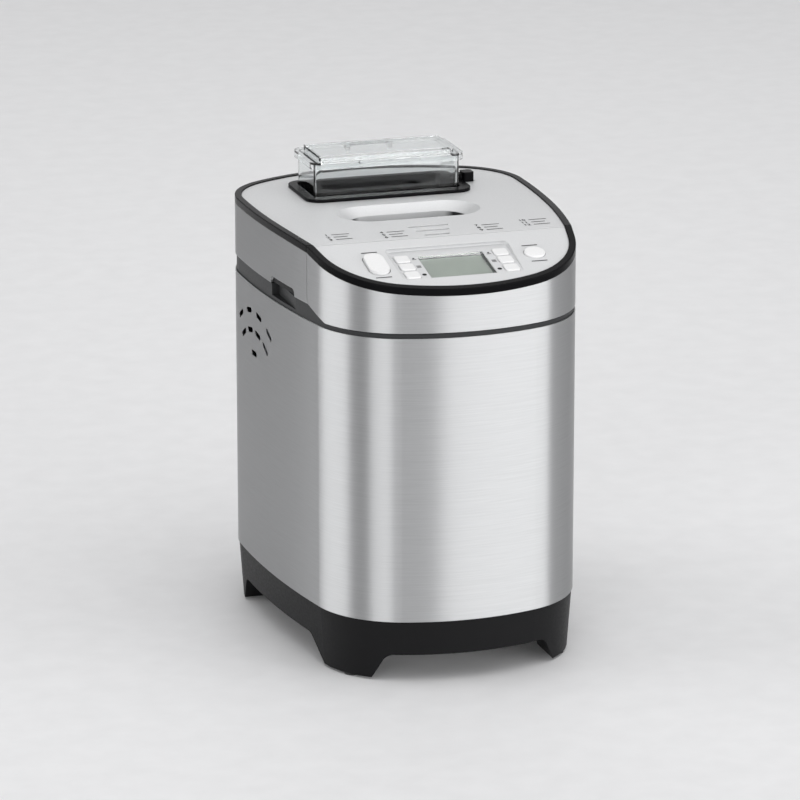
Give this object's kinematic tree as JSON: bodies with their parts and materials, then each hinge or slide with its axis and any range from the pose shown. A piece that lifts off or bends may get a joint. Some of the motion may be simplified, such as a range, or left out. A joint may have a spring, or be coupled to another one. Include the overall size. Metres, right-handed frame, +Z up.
{
  "type": "bread machine",
  "caption": "Upright household bread machine with a brushed steel body, hinged lid with window and clear ingredient dispenser, sloping control panel, lift-out pan and belt-driven kneader.",
  "frame": {"origin": "centre of the footprint, on the surface that the machine stands on", "axes": "+X to the right seen from the front, +Y to the rear, +Z up"},
  "size_m": [0.225, 0.298, 0.35],
  "materials": {
    "brushed_steel": "brushed",
    "black_plastic": "fine texture",
    "grey_plastic": "fine texture",
    "gloss_black": "gloss",
    "silver_plastic": "satin silver",
    "clear_plastic": "clear",
    "glass": "clear",
    "lcd": "lcd",
    "rubber": "matt",
    "steel_parts": "plain",
    "aluminium": "satin",
    "pan_coating": "non-stick",
    "element_sheath": "oxidised",
    "motor_iron": "varnished",
    "circuit_board": "solder mask"
  },
  "bodies": {
    "housing": {"base": "black_plastic", "rubber_feet": "rubber", "base_screws": "steel_parts", "steel_wrap": "brushed_steel", "top_frame": "grey_plastic", "hinge_pins": "steel_parts", "cord_gland": "gloss_black", "control_housing": "black_plastic", "control_band": "brushed_steel", "control_trim": "gloss_black", "control_panel": "silver_plastic", "display_lens": "clear_plastic", "display_module": "lcd", "control_board": "circuit_board", "baking_chamber": "aluminium", "heating_element": "element_sheath", "element_mounts": "steel_parts", "temperature_sensor": "steel_parts", "pan_socket": "aluminium", "drive_bush": "black_plastic", "drive_belt": "rubber", "motor_bracket": "aluminium", "motor_frame": "motor_iron", "power_board": "circuit_board", "motor_capacitor": "circuit_board"},
    "lid": {"lid_band": "brushed_steel", "lid_trim": "gloss_black", "lid_frame": "black_plastic", "lid_top": "silver_plastic", "lid_liner": "black_plastic", "lid_gasket": "rubber", "window_tube": "black_plastic", "window_panes": "glass", "dispenser_seat": "gloss_black", "solenoid": "motor_iron"},
    "dispenser": {"dispenser_box": "clear_plastic", "dispenser_pins": "steel_parts"},
    "cover": {"dispenser_cover": "clear_plastic"},
    "flap": {"dispenser_flap": "pan_coating"},
    "plunger": {"solenoid_plunger": "steel_parts"},
    "latch": {"release_latch": "gloss_black"},
    "pan": {"bread_pan": "pan_coating", "pan_base": "aluminium", "pan_bush": "aluminium"},
    "bail": {"pan_bail": "steel_parts"},
    "kneader": {"pan_spindle": "steel_parts", "kneading_paddle": "pan_coating"},
    "drive": {"drive_shaft": "steel_parts", "big_pulley": "black_plastic"},
    "motor": {"motor_rotor": "steel_parts", "motor_pulley": "black_plastic"},
    "start": {"start_button": "silver_plastic"},
    "rocker": {"program_rocker": "silver_plastic"},
    "key_1": {"key_1": "silver_plastic"},
    "key_2": {"key_2": "silver_plastic"},
    "key_3": {"key_3": "silver_plastic"},
    "key_4": {"key_4": "silver_plastic"},
    "key_5": {"key_5": "silver_plastic"},
    "key_6": {"key_6": "silver_plastic"}
  },
  "joints": [
    {"name": "lid_hinge", "type": "hinge", "parent": "housing", "child": "lid", "pos_m": [0, 0.145, 0.2675], "axis": [-1, 0, 0], "range_deg": [0, 80]},
    {"name": "dispenser_lift", "type": "slide", "parent": "lid", "child": "dispenser", "axis": [0, 0, 1], "range_m": [0, 0.07]},
    {"name": "dispenser_cover_hinge", "type": "hinge", "parent": "dispenser", "child": "cover", "pos_m": [0, 0.112, 0.3445], "axis": [-1, 0, 0], "range_deg": [0, 100]},
    {"name": "dispenser_flap_hinge", "type": "hinge", "parent": "dispenser", "child": "flap", "pos_m": [0, 0.1028, 0.2839], "axis": [1, 0, 0], "range_deg": [0, 70], "stiffness_Nm_per_rad": 0.02, "springref_deg": -57.3},
    {"name": "solenoid_stroke", "type": "slide", "parent": "lid", "child": "plunger", "axis": [-1, 0, 0], "range_m": [0, 0.004], "stiffness_N_per_m": 200},
    {"name": "release_latch_slide", "type": "slide", "parent": "lid", "child": "latch", "axis": [1, 0, 0], "range_m": [0, 0.003], "stiffness_N_per_m": 300},
    {"name": "pan_lift", "type": "slide", "parent": "housing", "child": "pan", "axis": [0, 0, 1], "range_m": [0, 0.012]},
    {"name": "pan_bail_swing", "type": "hinge", "parent": "pan", "child": "bail", "pos_m": [0, 0.033, 0.218], "axis": [-1, 0, 0], "range_deg": [0, 22]},
    {"name": "drive_spin", "type": "hinge", "parent": "housing", "child": "drive", "pos_m": [0, 0.033, 0.04], "axis": [0, 0, 1], "continuous": true},
    {"name": "motor_spin", "type": "hinge", "parent": "housing", "child": "motor", "pos_m": [0, -0.104, 0.04], "axis": [0, 0, 1], "continuous": true},
    {"name": "kneader_spin", "type": "hinge", "parent": "pan", "child": "kneader", "pos_m": [0, 0.033, 0.1], "axis": [0, 0, 1], "continuous": true},
    {"name": "start_press", "type": "slide", "parent": "housing", "child": "start", "axis": [0, 0.2402, -0.9707], "range_m": [0, 0.001], "stiffness_N_per_m": 400},
    {"name": "program_rock", "type": "hinge", "parent": "housing", "child": "rocker", "pos_m": [-0.059, -0.10302, 0.30165], "axis": [1, 0, 0], "range_deg": [-4, 4], "stiffness_Nm_per_rad": 0.1},
    {"name": "key_1_press", "type": "slide", "parent": "housing", "child": "key_1", "axis": [0, 0.1951, -0.9808], "range_m": [0, 0.001], "stiffness_N_per_m": 400},
    {"name": "key_2_press", "type": "slide", "parent": "housing", "child": "key_2", "axis": [0, 0.1951, -0.9808], "range_m": [0, 0.001], "stiffness_N_per_m": 400},
    {"name": "key_3_press", "type": "slide", "parent": "housing", "child": "key_3", "axis": [0, 0.1951, -0.9808], "range_m": [0, 0.001], "stiffness_N_per_m": 400},
    {"name": "key_4_press", "type": "slide", "parent": "housing", "child": "key_4", "axis": [0, 0.1951, -0.9808], "range_m": [0, 0.001], "stiffness_N_per_m": 400},
    {"name": "key_5_press", "type": "slide", "parent": "housing", "child": "key_5", "axis": [0, 0.1951, -0.9808], "range_m": [0, 0.001], "stiffness_N_per_m": 400},
    {"name": "key_6_press", "type": "slide", "parent": "housing", "child": "key_6", "axis": [0, 0.1951, -0.9808], "range_m": [0, 0.001], "stiffness_N_per_m": 400}
  ],
  "couplings": [
    {"joint": "motor_spin", "follows": "drive_spin", "ratio": 5},
    {"joint": "kneader_spin", "follows": "drive_spin", "ratio": 1}
  ]
}
